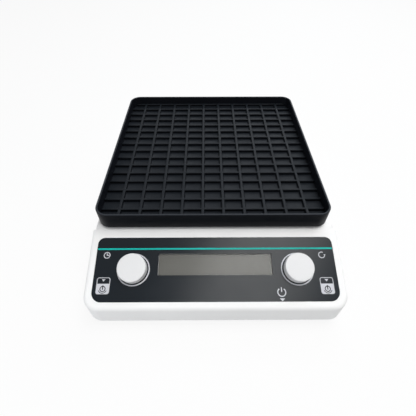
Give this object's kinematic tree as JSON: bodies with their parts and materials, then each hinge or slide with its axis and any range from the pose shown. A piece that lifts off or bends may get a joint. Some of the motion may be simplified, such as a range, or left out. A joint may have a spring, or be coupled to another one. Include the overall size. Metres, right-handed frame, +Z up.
{
  "type": "orbital platform shaker",
  "caption": "Compact digital orbital shaker: low housing with a sloped control panel, push-turn knobs, and a square rimmed tray with a ribbed mat that circles on crank pins.",
  "frame": {"origin": "on the bench, under the middle of the housing's outline", "axes": "+Z up, +Y towards the back, away from the control panel, +X to the user's right"},
  "size_m": [0.236, 0.298, 0.076],
  "materials": {
    "white_shell": "fine-textured off-white moulding",
    "base_steel": "grey powder coat",
    "rubber": "matt black",
    "screw_steel": "zinc-plated",
    "overlay_film": "charcoal film",
    "window": "clear",
    "lcd": "unlit grey display",
    "black_plastic": "matt black",
    "circuit_board": "green solder mask",
    "bright_steel": "ground",
    "knob_plastic": "off-white satin",
    "tray_plastic": "black fine grain",
    "mat_rubber": "black ribbed",
    "cast_alloy": "as machined",
    "copper_wire": "enamelled copper",
    "magnet": "nickel-plated",
    "weight_steel": "blackened"
  },
  "bodies": {
    "chassis": {"front_housing": "white_shell", "rear_housing": "white_shell", "bottom_plate": "base_steel", "foot_front_left": "rubber", "foot_front_right": "rubber", "foot_rear_left": "rubber", "foot_rear_right": "rubber", "foot_screws": "screw_steel", "housing_screws": "screw_steel", "flange_screws": "screw_steel", "control_overlay": "overlay_film", "display_lens": "window", "display_module": "lcd", "display_frame": "black_plastic", "control_board": "circuit_board", "control_board_screws": "screw_steel", "time_encoder_body": "black_plastic", "speed_encoder_body": "black_plastic", "encoder_nuts": "bright_steel", "power_switch": "black_plastic", "driver_board": "circuit_board", "driver_board_screws": "screw_steel", "dc_jack": "black_plastic", "motor_mount": "cast_alloy", "motor_bearings": "bright_steel", "motor_stator": "weight_steel", "motor_windings": "copper_wire", "drive_belt": "rubber", "drive_bearing_housing": "cast_alloy", "drive_bearings": "bright_steel", "idler_pedestals": "cast_alloy", "pedestal_bearings": "bright_steel"},
    "crank_assembly": {"drive_crank": "bright_steel", "driven_pulley": "cast_alloy", "counterweight": "weight_steel", "counterweight_screws": "screw_steel"},
    "platform": {"orbit_carrier": "cast_alloy", "carrier_bearings": "bright_steel", "platform_posts": "cast_alloy", "post_screws": "screw_steel", "platform_plate": "base_steel", "tray": "tray_plastic", "tray_screws": "screw_steel", "grip_mat": "mat_rubber"},
    "motor_bell": {"motor_rotor": "cast_alloy", "motor_magnets": "magnet", "motor_pulley": "cast_alloy"},
    "time_dial": {"time_encoder_rotor": "black_plastic"},
    "time_button": {"time_encoder_shaft": "bright_steel", "time_knob": "knob_plastic"},
    "speed_dial": {"speed_encoder_rotor": "black_plastic"},
    "speed_button": {"speed_encoder_shaft": "bright_steel", "speed_knob": "knob_plastic"},
    "power_button": {"power_key": "black_plastic"},
    "idler_front_left": {"idler_crank_front_left": "bright_steel"},
    "idler_front_right": {"idler_crank_front_right": "bright_steel"},
    "idler_rear_left": {"idler_crank_rear_left": "bright_steel"},
    "idler_rear_right": {"idler_crank_rear_right": "bright_steel"}
  },
  "joints": [
    {"name": "crank_spin", "type": "hinge", "parent": "chassis", "child": "crank_assembly", "pos_m": [0, 0.026, 0.03], "axis": [0, 0, 1], "continuous": true},
    {"name": "platform_orbit", "type": "hinge", "parent": "crank_assembly", "child": "platform", "pos_m": [-0.00163, 0.03073, 0.045], "axis": [0, 0, 1], "continuous": true},
    {"name": "motor_spin", "type": "hinge", "parent": "chassis", "child": "motor_bell", "pos_m": [0, -0.044, 0.02], "axis": [0, 0, 1], "continuous": true},
    {"name": "idler_front_left_spin", "type": "hinge", "parent": "chassis", "child": "idler_front_left", "pos_m": [-0.076, -0.05, 0.035], "axis": [0, 0, 1], "continuous": true},
    {"name": "idler_front_right_spin", "type": "hinge", "parent": "chassis", "child": "idler_front_right", "pos_m": [0.076, -0.05, 0.035], "axis": [0, 0, 1], "continuous": true},
    {"name": "idler_rear_left_spin", "type": "hinge", "parent": "chassis", "child": "idler_rear_left", "pos_m": [-0.076, 0.102, 0.035], "axis": [0, 0, 1], "continuous": true},
    {"name": "idler_rear_right_spin", "type": "hinge", "parent": "chassis", "child": "idler_rear_right", "pos_m": [0.076, 0.102, 0.035], "axis": [0, 0, 1], "continuous": true},
    {"name": "time_turn", "type": "hinge", "parent": "chassis", "child": "time_dial", "pos_m": [-0.075, -0.11563, 0.04171], "axis": [0, -0.3335, 0.9428], "continuous": true},
    {"name": "time_push", "type": "slide", "parent": "time_dial", "child": "time_button", "axis": [0, 0.3335, -0.9428], "range_m": [0, 0.0005], "stiffness_N_per_m": 600, "springref_m": -0.004},
    {"name": "speed_turn", "type": "hinge", "parent": "chassis", "child": "speed_dial", "pos_m": [0.075, -0.11563, 0.04171], "axis": [0, -0.3335, 0.9428], "continuous": true},
    {"name": "speed_push", "type": "slide", "parent": "speed_dial", "child": "speed_button", "axis": [0, 0.3335, -0.9428], "range_m": [0, 0.0005], "stiffness_N_per_m": 600, "springref_m": -0.004},
    {"name": "power_press", "type": "slide", "parent": "chassis", "child": "power_button", "axis": [0, 0.3335, -0.9428], "range_m": [0, 0.00025], "stiffness_N_per_m": 1500, "springref_m": -0.001}
  ],
  "couplings": [
    {"joint": "platform_orbit", "follows": "crank_spin", "ratio": -1},
    {"joint": "motor_spin", "follows": "crank_spin", "ratio": 4},
    {"joint": "idler_front_left_spin", "follows": "crank_spin", "ratio": 1},
    {"joint": "idler_front_right_spin", "follows": "crank_spin", "ratio": 1},
    {"joint": "idler_rear_left_spin", "follows": "crank_spin", "ratio": 1},
    {"joint": "idler_rear_right_spin", "follows": "crank_spin", "ratio": 1}
  ]
}
